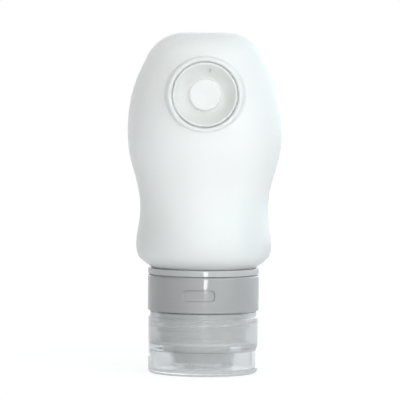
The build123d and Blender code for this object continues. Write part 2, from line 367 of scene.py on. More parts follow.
@dataclass(frozen=True)
class SatinWhite(Finish):
    """Opaque white moulding with a satin skin."""

    pale: Colour
    deep: Colour
    smooth: float
    worn: float
    cloud_grains: float = 260.0
    skin_grains: float = 3200.0
    skin_strength: float = 0.2
    skin_depth: float = 0.02 * MM

    def dress(self, graph: Graph, shader: bpy.types.Node) -> None:
        """Set the shader's sockets and add the nodes that feed it."""
        clouds = self.noise(graph, self.cloud_grains)
        grain = self.noise(graph, self.skin_grains, octaves=3.0)
        colour = graph.blend(self.between(graph, clouds, 0.0, 1.0), self.pale, self.deep)
        graph.feed(shader.inputs["Base Color"], colour)
        graph.feed(shader.inputs["Roughness"], self.between(graph, grain, self.smooth, self.worn))
        skin = self.bump(graph, grain, self.skin_strength, self.skin_depth)
        graph.feed(shader.inputs["Normal"], skin.outputs[0])


MILKY = MilkySilicone(
    "milky_silicone_skin",
    pale=(0.93, 0.96, 0.95),
    deep=(0.83, 0.845, 0.845),
    see_through=0.35,
    reach=1.5 * MM,
    smooth=0.30,
    worn=0.40,
    # Painted shade: below these heights the body darkens towards the deep colour.
    shade_start_height=50.0 * MM,
    shade_full_height=30.0 * MM,
)
VINYL = ClearPlastic(
    "clear_vinyl_skin",
    tint=(0.97, 0.98, 0.97),
    haze=(0.94, 0.955, 0.94),
    smooth=0.10,
    worn=0.16,
    refraction=1.40,
    ripple=0.1,
    clarity=0.55,
    gloss=0.5,
)
# Painted shade: a dark grey vinyl for the gate mark, standing for the shade on it.
GATE_SHADE_VINYL = ClearPlastic(
    "cut_vinyl_skin",
    tint=(0.52, 0.54, 0.53),
    haze=(0.44, 0.46, 0.45),
    smooth=0.40,
    worn=0.55,
    refraction=1.40,
    ripple=0.1,
    clarity=0.2,
    gloss=0.0,
)
CLEAR = ClearPlastic(
    "clear_plastic_skin",
    tint=(0.975, 0.985, 0.99),
    haze=(0.95, 0.965, 0.975),
    smooth=0.08,
    worn=0.14,
    refraction=1.49,
    ripple=0.1,
    clarity=0.88,
    gloss=0.6,
    body_tint=(0.70, 0.72, 0.73),
    body_density=12.0,
)
FROSTED_CLEAR = ClearPlastic(
    "frosted_clear_plastic_skin",
    tint=(0.92, 0.93, 0.935),
    haze=(0.89, 0.90, 0.905),
    smooth=0.15,
    worn=0.22,
    refraction=1.49,
    ripple=0.1,
    clarity=0.78,
    gloss=0.5,
    body_tint=(0.70, 0.72, 0.73),
    body_density=60.0,
)
GREY_CLEAR = ClearPlastic(
    "grey_clear_plastic_skin",
    tint=(0.60, 0.605, 0.61),
    haze=(0.55, 0.555, 0.56),
    smooth=0.29,
    worn=0.36,
    refraction=1.49,
    ripple=0.1,
    clarity=0.55,
    gloss=0.6,
    body_tint=(0.70, 0.71, 0.72),
    body_density=150.0,
)
PALE_GREY_CLEAR = ClearPlastic(
    "pale_grey_clear_plastic_skin",
    tint=(0.80, 0.81, 0.815),
    haze=(0.76, 0.77, 0.775),
    smooth=0.29,
    worn=0.36,
    refraction=1.49,
    ripple=0.1,
    clarity=0.55,
    gloss=0.6,
    body_tint=(0.70, 0.71, 0.72),
    body_density=100.0,
)
WHITE_SILICONE = SatinWhite(
    "white_silicone_skin", pale=(0.86, 0.87, 0.87), deep=(0.80, 0.81, 0.81), smooth=0.4, worn=0.55
)
WHITE_PLASTIC = SatinWhite(
    "white_plastic_skin", pale=(0.88, 0.88, 0.88), deep=(0.83, 0.83, 0.84), smooth=0.25, worn=0.4
)


# Outlines of turned pieces

SHORT_ROW = 0.25
HUG = 0.06
ARC_STEP = math.radians(18)
ARC_LEAST = 3
STRAIGHT = 1e-3


@dataclass(frozen=True)
class Corner:
    """A corner of a turned piece's outline, in millimetres.

    across is its distance from the axis, up its height, rounding its radius, and step the longest
    row from here to the next corner.
    """

    across: float
    up: float
    rounding: float = 0.0
    step: float = 1.5


def rounded_corner(before: Vector, at: Vector, after: Vector, rounding: float) -> list[Vector]:
    """Return the points of the arc that rounds a corner, or the corner itself.

    Args:
        before: The corner before it.
        at: The corner.
        after: The corner after it.
        rounding: The arc's radius.

    Returns:
        The points in order.
    """
    arrive, leave = (at - before).normalized(), (after - at).normalized()
    bend = arrive.angle_signed(leave, 0.0)
    if rounding <= 0 or abs(bend) < STRAIGHT:
        return [at]
    reach = rounding * math.tan(abs(bend) / 2)
    start = at - arrive * reach
    towards = Vector((-arrive.y, arrive.x)) * (-1 if bend > 0 else 1)
    centre = start + towards * rounding
    steps = max(ARC_LEAST, math.ceil(abs(bend) / ARC_STEP))
    points = []
    for number in range(steps + 1):
        arm = start - centre
        arm.rotate(Matrix.Rotation(-bend * number / steps, 2))
        points.append(centre + arm)
    return points


def trace(corners: Sequence[Corner], closed: bool) -> list[Point]:
    """Round an outline's corners and divide its long rows.

    Args:
        corners: The outline against the clock, seen with the axis on the left.
        closed: False if it starts and ends on the axis.

    Returns:
        Its points in metres. The first comes again at the end of a closed outline.
    """
    spots = [Vector((c.across, c.up)) for c in corners]
    count = len(spots)
    points: list[Vector] = []
    for number, corner in enumerate(corners):
        if not closed and number in (0, count - 1):
            arc = [spots[number]]
        else:
            arc = rounded_corner(
                spots[number - 1], spots[number], spots[(number + 1) % count], corner.rounding
            )
        if points:
            points += divided(points[-1], arc[0], corners[number - 1].step)
        points += arc
    if closed:
        points += divided(points[-1], points[0], corners[-1].step)
        points.append(points[0].copy())
    return [(p.x * MM, p.y * MM) for p in points]


def divided(start: Vector, end: Vector, step: float) -> list[Vector]:
    """Return the points between two ends of a row, which hug the ends so that roundings shade well."""
    length = (end - start).length
    if length < SHORT_ROW:
        return []
    hug = min(HUG, length / 4)
    inner = max(1, math.ceil((length - 2 * hug) / step))
    shares = [(hug + (length - 2 * hug) * number / inner) / length for number in range(inner + 1)]
    return [start.lerp(end, share) for share in shares]


# Geometry node trees

NUMBER = "NodeSocketFloat"
WHOLE = "NodeSocketInt"
MATERIAL = "NodeSocketMaterial"
WELD = 0.5e-6
TINY = 1e-6
NEAR_WALL = 0.02 * MM


def new_tree(name: str, sockets: Sequence[tuple[str, str]]) -> bpy.types.NodeTree:
    """Start a geometry node tree.

    Args:
        name: The tree's name.
        sockets: Name and socket type of each input after the geometry.

    Returns:
        The tree, with its group input and output still to be made.
    """
    tree = bpy.data.node_groups.new(name, "GeometryNodeTree")
    tree.interface.new_socket("Geometry", in_out="INPUT", socket_type="NodeSocketGeometry")
    for title, kind in sockets:
        tree.interface.new_socket(title, in_out="INPUT", socket_type=kind)
    tree.interface.new_socket("Geometry", in_out="OUTPUT", socket_type="NodeSocketGeometry")
    return tree


def finish_tree(graph: Graph, geometry: bpy.types.NodeSocket, finish: bpy.types.NodeSocket) -> None:
    """End a tree in Realize Instances and Set Material."""
    real = graph.node("GeometryNodeRealizeInstances", {"Geometry": geometry}).outputs[0]
    painted = graph.node("GeometryNodeSetMaterial", {"Geometry": real, "Material": finish}).outputs[0]
    graph.node("NodeGroupOutput", {0: painted})


def pushed_out(
    graph: Graph,
    geometry: bpy.types.NodeSocket,
    flat: tuple[bpy.types.NodeSocket, bpy.types.NodeSocket],
    radius: bpy.types.NodeSocket,
    distance: bpy.types.NodeSocket,
) -> bpy.types.NodeSocket:
    """Move a wall's points away from the Z axis.

    Args:
        graph: The tree.
        geometry: The wall.
        flat: Each point's X and Y.
        radius: Its distance from the axis.
        distance: How far it moves. A negative one points inward.

    Returns:
        The moved wall.
    """
    safe = graph.math("MAXIMUM", radius, TINY)
    x, y = (graph.math("DIVIDE", graph.math("MULTIPLY", part, distance), safe) for part in flat)
    offset = graph.join(x, y, 0.0)
    moved = graph.node("GeometryNodeSetPosition", {"Geometry": geometry, "Offset": offset})
    return moved.outputs[0]


def turned_tree() -> bpy.types.NodeTree:
    """Return the tree that turns an outline round the Z axis into a closed wall."""
    name = "turned_wall"
    if name in bpy.data.node_groups:
        return bpy.data.node_groups[name]
    graph = Graph(new_tree(name, [("Columns", WHOLE), ("Finish", MATERIAL)]))
    given = graph.node("NodeGroupInput").outputs
    rows = graph.node("GeometryNodeAttributeDomainSize", {"Geometry": given["Geometry"]}).outputs[0]
    wide = graph.math("ADD", given["Columns"], 1.0)
    long = graph.math("SUBTRACT", rows, 1.0)
    grid = graph.node(
        "GeometryNodeMeshGrid",
        {"Size X": given["Columns"], "Size Y": long, "Vertices X": wide, "Vertices Y": rows},
    ).outputs[0]
    spot = graph.node("GeometryNodeInputPosition").outputs[0]
    along, up, _ = graph.split(spot)
    column = graph.math("ADD", along, graph.math("DIVIDE", given["Columns"], 2.0))
    row = graph.math("ROUND", graph.math("ADD", up, graph.math("DIVIDE", long, 2.0)))
    point = graph.node(
        "GeometryNodeSampleIndex",
        {"Geometry": given["Geometry"], "Index": row},
        data_type="FLOAT_VECTOR",
        domain="POINT",
    )
    graph.feed(point.inputs["Value"], graph.node("GeometryNodeInputPosition").outputs[0])
    across, _, level = graph.split(point.outputs[0])
    angle = graph.math("DIVIDE", graph.math("MULTIPLY", column, TURN), given["Columns"])
    place = graph.join(
        graph.math("MULTIPLY", across, graph.math("COSINE", angle)),
        graph.math("MULTIPLY", across, graph.math("SINE", angle)),
        level,
    )
    wall = graph.node("GeometryNodeSetPosition", {"Geometry": grid, "Position": place}).outputs[0]
    welded = graph.node("GeometryNodeMergeByDistance", {"Geometry": wall, "Distance": WELD}).outputs[0]
    smooth = graph.node("GeometryNodeSetShadeSmooth", {"Geometry": welded}).outputs[0]
    finish_tree(graph, smooth, given["Finish"])
    return graph.tree


def thread_tree() -> bpy.types.NodeTree:
    """Return the tree that raises a screw thread on a turned wall."""
    name = "screw_thread"
    if name in bpy.data.node_groups:
        return bpy.data.node_groups[name]
    numbers = (
        "Wall radius", "Depth", "Pitch", "Start height", "First angle", "Last angle",
        "Foot width", "Crest width", "Run-out",
    )
    graph = Graph(new_tree(name, [(n, NUMBER) for n in numbers] + [("Finish", MATERIAL)]))
    given = graph.node("NodeGroupInput").outputs
    x, y, z = graph.split(graph.node("GeometryNodeInputPosition").outputs[0])
    radius = graph.length(x, y)
    raw = graph.math("DIVIDE", graph.math("ARCTAN2", y, x), TURN)
    share = graph.math("FRACT", graph.math("ADD", raw, 1.0))
    rise = graph.math("DIVIDE", graph.math("SUBTRACT", z, given["Start height"]), given["Pitch"])
    lap = graph.math("ROUND", graph.math("SUBTRACT", rise, share))
    turns = graph.math("ADD", share, lap)
    angle = graph.math("MULTIPLY", turns, TURN)
    off = graph.math(
        "ABSOLUTE", graph.math("MULTIPLY", graph.math("SUBTRACT", rise, turns), given["Pitch"])
    )
    flank = graph.math(
        "SUBTRACT",
        1.0,
        graph.smooth_step(
            off,
            graph.math("DIVIDE", given["Crest width"], 2.0),
            graph.math("DIVIDE", given["Foot width"], 2.0),
        ),
    )
    run_in = graph.smooth_step(
        angle, given["First angle"], graph.math("ADD", given["First angle"], given["Run-out"])
    )
    run_out = graph.smooth_step(
        angle, given["Last angle"], graph.math("SUBTRACT", given["Last angle"], given["Run-out"])
    )
    ends = graph.math("MINIMUM", run_in, run_out)
    from_wall = graph.math("ABSOLUTE", graph.math("SUBTRACT", radius, given["Wall radius"]))
    on_wall = graph.math("LESS_THAN", from_wall, NEAR_WALL)
    height = graph.math("MULTIPLY", graph.math("MULTIPLY", flank, ends), given["Depth"])
    height = graph.math("MULTIPLY", height, on_wall)
    ridge = pushed_out(graph, given["Geometry"], (x, y), radius, height)
    finish_tree(graph, ridge, given["Finish"])
    return graph.tree


def flat_tree() -> bpy.types.NodeTree:
    """Return the tree that presses a flat into one side of a turned wall."""
    name = "side_flat"
    if name in bpy.data.node_groups:
        return bpy.data.node_groups[name]
    numbers = ("Side", "Level", "Slope", "Low", "High")
    graph = Graph(new_tree(name, [(n, NUMBER) for n in numbers] + [("Finish", MATERIAL)]))
    given = graph.node("NodeGroupInput").outputs
    x, y, z = graph.split(graph.node("GeometryNodeInputPosition").outputs[0])
    lift = graph.math("MULTIPLY", graph.math("SUBTRACT", z, given["Low"]), given["Slope"])
    level = graph.math("ADD", given["Level"], lift)
    pressed = graph.math("MINIMUM", graph.math("MULTIPLY", x, given["Side"]), level)
    place = graph.join(graph.math("MULTIPLY", pressed, given["Side"]), y, z)
    inside = graph.math(
        "MULTIPLY",
        graph.math("GREATER_THAN", z, given["Low"]),
        graph.math("LESS_THAN", z, given["High"]),
    )
    flat = graph.node(
        "GeometryNodeSetPosition",
        {"Geometry": given["Geometry"], "Selection": inside, "Position": place},
    ).outputs[0]
    finish_tree(graph, flat, given["Finish"])
    return graph.tree


def window_tree() -> bpy.types.NodeTree:
    """Return the tree that sinks a shallow rounded window into a turned wall's outside."""
    name = "sunk_window"
    if name in bpy.data.node_groups:
        return bpy.data.node_groups[name]
    numbers = ("Face radius", "Width", "Height", "Corner", "Depth", "Edge", "Facing", "Centre height")
    graph = Graph(new_tree(name, [(n, NUMBER) for n in numbers] + [("Finish", MATERIAL)]))
    given = graph.node("NodeGroupInput").outputs
    x, y, z = graph.split(graph.node("GeometryNodeInputPosition").outputs[0])
    radius = graph.length(x, y)
    turned = graph.math("SUBTRACT", graph.math("ARCTAN2", y, x), given["Facing"])
    around = graph.math("WRAP", turned, math.pi, -math.pi)
    arc = graph.math("ABSOLUTE", graph.math("MULTIPLY", around, given["Face radius"]))
    rise = graph.math("ABSOLUTE", graph.math("SUBTRACT", z, given["Centre height"]))
    half_width = graph.math("DIVIDE", given["Width"], 2.0)
    half_height = graph.math("DIVIDE", given["Height"], 2.0)
    past_x = graph.math("SUBTRACT", arc, graph.math("SUBTRACT", half_width, given["Corner"]))
    past_z = graph.math("SUBTRACT", rise, graph.math("SUBTRACT", half_height, given["Corner"]))
    out_x = graph.math("MAXIMUM", past_x, 0.0)
    out_z = graph.math("MAXIMUM", past_z, 0.0)
    outside = graph.length(out_x, out_z)
    inside = graph.math("MINIMUM", graph.math("MAXIMUM", past_x, past_z), 0.0)
    gap = graph.math("SUBTRACT", graph.math("ADD", outside, inside), given["Corner"])
    inner_edge = graph.math("MULTIPLY", given["Edge"], -1.0)
    sunk = graph.math("SUBTRACT", 1.0, graph.smooth_step(gap, inner_edge, 0.0))
    near_face = graph.math("SUBTRACT", given["Face radius"], NEAR_WALL)
    on_face = graph.math("GREATER_THAN", radius, near_face)
    inward = graph.math("MULTIPLY", given["Depth"], -1.0)
    depth = graph.math("MULTIPLY", graph.math("MULTIPLY", sunk, on_face), inward)
    sunk_wall = pushed_out(graph, given["Geometry"], (x, y), radius, depth)
    finish_tree(graph, sunk_wall, given["Finish"])
    return graph.tree


@dataclass
class Step:
    """One geometry node step in the making of a piece: its tree and the values of its inputs."""

    tree: bpy.types.NodeTree
    values: dict[str, float]

    def apply(self, piece: bpy.types.Object, finish: bpy.types.Material) -> None:
        """Add the step to a piece as a modifier.

        Args:
            piece: The object.
            finish: The material that the tree sets.
        """
        modifier = piece.modifiers.new(self.tree.name, "NODES")
        modifier.node_group = self.tree
        for item in self.tree.interface.items_tree:
            if item.item_type != "SOCKET" or item.in_out != "INPUT":
                continue
            if item.name == "Finish":
                modifier[item.identifier] = finish
            elif item.name in self.values:
                modifier[item.identifier] = self.values[item.name]


def new_object(name: str, mesh: bpy.types.Mesh) -> bpy.types.Object:
    """Put a mesh in the scene as an object at the origin."""
    piece = bpy.data.objects.new(name, mesh)
    bpy.context.scene.collection.objects.link(piece)
    return piece


def plain_mesh(piece: bpy.types.Object) -> None:
    """Turn what an object's modifiers make into its plain mesh, and remove the modifiers."""
    bpy.context.view_layer.update()
    graph = bpy.context.evaluated_depsgraph_get()
    made = bpy.data.meshes.new_from_object(piece.evaluated_get(graph))
    if made.materials and made.materials[0] is None:
        made.materials.pop(index=0)
    piece.modifiers.clear()
    old = piece.data
    piece.data = made
    made.name = piece.name
    bpy.data.meshes.remove(old)


def turned_piece(
    name: str,
    outline: Sequence[Point],
    columns: int,
    finish: Finish,
    steps: Sequence[Step] = (),
) -> bpy.types.Object:
    """Make a piece by turning an outline, and then by further steps.

    Args:
        name: The piece's name.
        outline: Its points in metres, against the clock.
        columns: How many faces go round it.
        finish: What it is made of.
        steps: Trees that change the turned wall, in order.

    Returns:
        The piece, a plain mesh at the origin.
    """
    mesh = bpy.data.meshes.new(name)
    rows = [(across, 0.0, up) for across, up in outline]
    mesh.from_pydata(rows, [(n, n + 1) for n in range(len(rows) - 1)], [])
    piece = new_object(name, mesh)
    material = finish.material()
    for step in [Step(turned_tree(), {"Columns": columns}), *steps]:
        step.apply(piece, material)
    plain_mesh(piece)
    return piece


def join_meshes(piece: bpy.types.Object, other: bpy.types.Object, finish: Finish) -> None:
    """Move another object's faces into a piece, and remove that object.

    Args:
        piece: The object that keeps its name and finish.
        other: The object whose faces it takes.
        finish: What those faces are made of.
    """
    shell = bmesh.new()
    shell.from_mesh(piece.data)
    own = len(shell.faces)
    shell.from_mesh(other.data)
    shell.faces.ensure_lookup_table()
    slot = len(piece.data.materials)
    for face in shell.faces[own:]:
        face.material_index = slot
    shell.to_mesh(piece.data)
    shell.free()
    piece.data.materials.append(finish.material())
    spare = other.data
    bpy.data.objects.remove(other)
    bpy.data.meshes.remove(spare)


def shade(piece: bpy.types.Object, angle: float = 32.0) -> None:
    """Shade a piece smooth, with hard edges where its faces meet at more than an angle in degrees."""
    mesh = piece.data
    mesh.shade_smooth()
    mesh.set_sharp_from_angle(angle=math.radians(angle))


def dress_node(node: str, finish: Finish) -> None:
    """Give a CAD node that stays in view its finish."""
    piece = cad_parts[node]
    for holder in piece.material_slots:
        holder.material = finish.material()
    LOG.info("dressed %s", node)


def settle(piece: bpy.types.Object, body: Body, slot: Slot, *nodes: str) -> None:
    """Let a piece ride on its body and stand for its CAD nodes.

    Args:
        piece: The finished piece.
        body: The body that it moves with.
        slot: The record's slot of its finish; not used.
        nodes: CAD nodes that it replaces.
    """
    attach(piece, body.value)
    if nodes:
        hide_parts(*nodes)
    LOG.info("made %s with %d faces", piece.name, len(piece.data.polygons))


# Sub-assemblies


@dataclass
class SiliconeBody:
    """The squeeze bottle with its pocket and stud, whose CAD shape is kept."""

    node: str = "bottle_body"

    def build(self) -> None:
        """Dress the body."""
        dress_node(self.node, MILKY)


@dataclass
class SealWasher:
    """The soft ring between the cap's deck and the silicone lip, whose CAD shape is kept."""

    node: str = "seal_washer"

    def build(self) -> None:
        """Dress the washer."""
        dress_node(self.node, WHITE_SILICONE)


@dataclass
class SuctionCup:
    """The clear cup that the stud holds in the pocket. Heights are outward from the pocket's rim."""

    centre: tuple[float, float, float] = (0.0, -16.6652, 73.735)
    tilt: float = 6.0
    radius: float = 8.4
    proud: float = 0.2
    edge: float = 0.35
    lip: float = 0.5
    hub_radius: float = 4.7
    hub_low: float = -2.9
    hub_high: float = -1.4
    bore: float = 2.7
    bore_round: float = 0.2
    hub_round: float = 0.25
    hub_edge_round: float = 0.3
    rim_round: float = 0.12
    lip_round: float = 0.1
    rise_share: float = 0.34
    dish_rows: int = 14
    dish_step: float = 0.6
    first_step: float = 0.4
    columns: int = 192
    gate_radius: float = 0.3
    gate_low: float = -1.15
    gate_high: float = -0.45
    gate_distance: float = 6.6
    gate_angle: float = 79.0
    gate_round: float = 0.06
    gate_columns: int = 24

    def dish(self, start: Point, end: Point, share: float) -> list[Corner]:
        """Return corners along a dished face.

        Args:
            start: Where it starts, as distance from the axis and height.
            end: Where it ends.
            share: How much of its rise it has made half-way.

        Returns:
            The corners between its ends.
        """
        middle = ((start[0] + end[0]) / 2, start[1] + (end[1] - start[1]) * share)
        control = [2 * m - (s + e) / 2 for m, s, e in zip(middle, start, end)]
        corners = []
        for number in range(1, self.dish_rows):
            t = number / self.dish_rows
            shares = ((1 - t) ** 2, 2 * t * (1 - t), t * t)
            spot = [
                s * shares[0] + c * shares[1] + e * shares[2] for s, c, e in zip(start, control, end)
            ]
            corners.append(Corner(spot[0], spot[1], step=self.dish_step))
        return corners

    def outline(self) -> list[Point]:
        """Return the cup's outline: hub, dished skirt and flat lip."""
        inner = self.radius - self.lip
        back_start, back_end = (self.hub_radius, self.hub_low), (self.radius, self.proud - self.edge)
        front_start, front_end = (inner, self.proud), (self.hub_radius, self.hub_high)
        corners = [
            Corner(self.bore, self.hub_low, self.bore_round),
            Corner(*back_start, self.hub_round, self.first_step),
            *self.dish(back_start, back_end, self.rise_share),
            Corner(*back_end, self.rim_round),
            Corner(self.radius, self.proud, self.rim_round),
            Corner(*front_start, self.lip_round, self.first_step),
            *self.dish(front_start, front_end, 1 - self.rise_share),
            Corner(*front_end, self.hub_edge_round),
            Corner(self.bore, self.hub_high, self.hub_round),
        ]
        return trace(corners, closed=True)

    def gate(self) -> bpy.types.Object:
        """Return the small round mark that the mould's gate left on the dish, in a dark grey that
        paints the shade on it.
        """
        outline = trace(
            [
                Corner(0.0, self.gate_low),
                Corner(self.gate_radius, self.gate_low),
                Corner(self.gate_radius, self.gate_high, self.gate_round),
                Corner(0.0, self.gate_high),
            ],
            closed=False,
        )
        mark = turned_piece("gate_mark", outline, self.gate_columns, GATE_SHADE_VINYL)
        angle = math.radians(self.gate_angle)
        place = Vector((math.cos(angle), math.sin(angle), 0.0)) * self.gate_distance * MM
        mark.data.transform(Matrix.Translation(place))
        return mark

    def build(self) -> None:
        """Make the cup and set it in its pocket."""
        piece = turned_piece("suction_cup_dish", self.outline(), self.columns, VINYL)
        # The gate mark gets the dark grey vinyl, its painted shade.
        join_meshes(piece, self.gate(), GATE_SHADE_VINYL)
        lean = Matrix.Rotation(math.radians(90 - self.tilt), 4, "X")
        piece.data.transform(Matrix.Translation(Vector(self.centre) * MM) @ lean)
        shade(piece)
        settle(piece, Body.CUP, Slot.VINYL, "suction_cup")


@dataclass
class Thread:
    """A screw thread on a turned wall, in millimetres and degrees. A negative depth points inward."""

    wall: float
    depth: float
    start: float
    first: float
    last: float
    pitch: float = 2.5
    foot: float = 1.3
    crest: float = 0.6
    run_out: float = 22.0

    def step(self) -> Step:
        """Return the step that raises it."""
        return Step(
            thread_tree(),
            {
                "Wall radius": self.wall * MM,
                "Depth": self.depth * MM,
                "Pitch": self.pitch * MM,
                "Start height": self.start * MM,
                "First angle": math.radians(self.first),
                "Last angle": math.radians(self.last),
                "Foot width": self.foot * MM,
                "Crest width": self.crest * MM,
                "Run-out": math.radians(self.run_out),
            },
        )


@dataclass
class Flat:
    """A flat on one side of a turned wall, in millimetres, between two heights."""

    side: Side
    level: float
    low: float
    high: float
    slope: float = 0.0

    def step(self) -> Step:
        """Return the step that presses it in."""
        return Step(
            flat_tree(),
            {
                "Side": self.side.value,
                "Level": self.level * MM,
                "Slope": self.slope,
                "Low": self.low * MM,
                "High": self.high * MM,
            },
        )


@dataclass
class Collar:
    """The hard collar on the silicone neck: threaded spigot, drum and flange."""

    bore: float = 10.45
    spigot: float = 11.65
    low: float = 9.80
    drum: float = 13.2
    drum_low: float = 16.6
    catch: float = 0.3
    catch_middle: float = 17.6
    flange: float = 14.7
    flange_low: float = 26.22
    flange_high: float = 27.82
    groove: float = 11.5
    groove_low: float = 19.4
    groove_high: float = 22.6
    mouth_round: float = 0.3
    drum_round: float = 0.2
    catch_round: float = 0.1
    flange_low_round: float = 0.08
    flange_high_round: float = 0.14
    thread_depth: float = 0.9
    thread_start: float = 10.5
    thread_last: float = 540.0
    thread_row: float = 0.07
    columns: int = 320

    def outline(self) -> list[Point]:
        """Return the collar's outline."""
        return trace(
            [
                Corner(self.bore, self.low, self.mouth_round),
                Corner(self.spigot, self.low, self.mouth_round, self.thread_row),
                Corner(self.spigot, self.drum_low, self.catch_round),
                Corner(self.drum, self.drum_low, self.drum_round),
                Corner(self.drum, self.catch_middle - self.catch, self.catch_round),
                Corner(self.drum + self.catch, self.catch_middle, self.catch_round),
                Corner(self.drum, self.catch_middle + self.catch, self.catch_round),
                Corner(self.drum, self.flange_low, self.catch_round),
                Corner(self.flange, self.flange_low, self.flange_low_round),
                Corner(self.flange, self.flange_high, self.flange_high_round),
                Corner(self.bore, self.flange_high, self.mouth_round),
                Corner(self.bore, self.groove_high),
                Corner(self.groove, self.groove_high, self.mouth_round),
                Corner(self.groove, self.groove_low, self.mouth_round),
                Corner(self.bore, self.groove_low),
            ],
            closed=True,
        )

    def build(self) -> None:
        """Make the collar with its thread."""
        thread = Thread(self.spigot, self.thread_depth, self.thread_start, 0.0, self.thread_last)
        piece = turned_piece("collar", self.outline(), self.columns, PALE_GREY_CLEAR, [thread.step()])
        shade(piece)
        settle(piece, Body.BOTTLE, Slot.GREY_CLEAR, "neck_collar")


@dataclass
class LabelRing:
    """The ring that turns on the collar, with its shallow window in front."""

    bore: float = 13.35
    radius: float = 14.7
    low: float = 16.6
    high: float = 26.1
    groove: float = 0.3
    groove_middle: float = 17.6
    groove_reach: float = 0.45
    bore_round: float = 0.15
    low_round: float = 0.25
    high_round: float = 0.55
    groove_round: float = 0.1
    window_width: float = 8.7
    window_height: float = 3.0
    window_corner: float = 1.2
    window_depth: float = 0.45
    window_edge: float = 0.16
    window_turn: float = -5.0
    window_middle: float = 21.2
    row: float = 0.12
    columns: int = 480

    def build(self) -> None:
        """Make the ring and sink its window."""
        outline = trace(
            [
                Corner(self.bore, self.low, self.bore_round),
                Corner(self.radius, self.low, self.low_round, self.row),
                Corner(self.radius, self.high, self.high_round),
                Corner(self.bore, self.high, self.bore_round),
                Corner(self.bore, self.groove_middle + self.groove_reach, self.groove_round),
                Corner(self.bore + self.groove, self.groove_middle, self.groove_round),
                Corner(self.bore, self.groove_middle - self.groove_reach, self.groove_round),
            ],
            closed=True,
        )
        window = Step(
            window_tree(),
            {
                "Face radius": self.radius * MM,
                "Width": self.window_width * MM,
                "Height": self.window_height * MM,
                "Corner": self.window_corner * MM,
                "Depth": self.window_depth * MM,
                "Edge": self.window_edge * MM,
                "Facing": math.radians(self.window_turn - 90),
                "Centre height": self.window_middle * MM,
            },
        )
        piece = turned_piece("label_ring_wall", outline, self.columns, GREY_CLEAR, [window])
        shade(piece)
        settle(piece, Body.RING, Slot.GREY_CLEAR, "label_ring")


@dataclass
class ScrewCap:
    """The clear screw cap with its deck, two-tier spout, inner thread and rim."""

    radius: float = 14.5
    bore: float = 12.85
    deck_low: float = 6.35
    deck_high: float = 7.75
    skirt_high: float = 15.0
    rim: float = 14.1
    rim_wall: float = 0.6
    rim_high: float = 16.3
    spout: float = 8.7
    spout_step: float = 0.5
    spout_step_level: float = 4.1
    spout_low: float = 1.6
    spout_floor: float = 1.2
    spout_bore: float = 7.3
    orifice: float = 3.5
    snap: float = 0.15
    snap_low: float = 4.45
    snap_high: float = 4.95
    thumb_level: float = 13.9
    thumb_rise: float = 1.3
    hinge_level: float = 14.0
    hinge_high: float = 8.025
    orifice_round: float = 0.2
    tip_round: float = 0.35
    step_round: float = 0.1
    spout_round: float = 0.2
    deck_corner: float = 0.5
    deck_round: float = 0.12
    skirt_round: float = 0.3
    rim_foot: float = 0.08
    rim_round: float = 0.15
    rim_corner: float = 0.1
    mouth_round: float = 0.2
    bore_corner: float = 0.3
    seat_round: float = 0.25
    floor_corner: float = 0.15
    flat_overrun: float = 0.5
    thumb_overrun: float = 0.2
    thread_depth: float = -0.9
    thread_start: float = 11.75
    thread_first: float = 60.0
    thread_last: float = 360.0
    thread_row: float = 0.07
    row: float = 0.13
    row_zone: float = 2.2
    columns: int = 320

    def outline(self) -> list[Point]:
        """Return the cap's outline, from the orifice out and round."""
        floor = self.spout_low + self.spout_floor
        return trace(
            [
                Corner(self.orifice, self.spout_low, self.orifice_round),
                Corner(self.spout - self.spout_step, self.spout_low, self.tip_round),
                Corner(self.spout - self.spout_step, self.spout_step_level, self.step_round),
                Corner(self.spout, self.spout_step_level, self.spout_round),
                Corner(self.spout, self.deck_low, self.deck_corner),
                Corner(self.radius, self.deck_low, self.deck_round, self.row),
                Corner(self.radius, self.deck_low + self.row_zone),
                Corner(self.radius, self.skirt_high, self.skirt_round),
                Corner(self.rim, self.skirt_high, self.rim_foot),
                Corner(self.rim, self.rim_high, self.rim_round),
                Corner(self.rim - self.rim_wall, self.rim_high, self.rim_round),
                Corner(self.rim - self.rim_wall, self.skirt_high, self.rim_corner),
                Corner(self.bore, self.skirt_high, self.mouth_round, self.thread_row),
                Corner(self.bore, self.deck_high, self.bore_corner),
                Corner(self.spout_bore, self.deck_high, self.seat_round),
                Corner(self.spout_bore, self.snap_high),
                Corner(self.spout_bore + self.snap, self.snap_high),
                Corner(self.spout_bore + self.snap, self.snap_low),
                Corner(self.spout_bore, self.snap_low),
                Corner(self.spout_bore, floor, self.floor_corner),
                Corner(self.orifice, floor, self.orifice_round),
            ],
            closed=True,
        )

    def build(self) -> None:
        """Make the cap with its thread and flats."""
        thread = Thread(
            self.bore, self.thread_depth, self.thread_start, self.thread_first, self.thread_last
        )
        low = self.deck_low - self.flat_overrun
        slope = (self.radius - self.thumb_level) / self.thumb_rise
        thumb = Flat(
            Side.THUMB,
            self.thumb_level - self.flat_overrun * slope,
            low,
            self.deck_low + self.thumb_rise + self.thumb_overrun,
            slope,
        )
        hinge = Flat(Side.HINGE, self.hinge_level, low, self.hinge_high)
        steps = [thread.step(), thumb.step(), hinge.step()]
        piece = turned_piece("screw_cap", self.outline(), self.columns, FROSTED_CLEAR, steps)
        shade(piece)
        settle(piece, Body.CAP, Slot.CLEAR, "cap_body")
        dress_node("valve", WHITE_SILICONE)
        dress_node("valve_retainer", WHITE_PLASTIC)


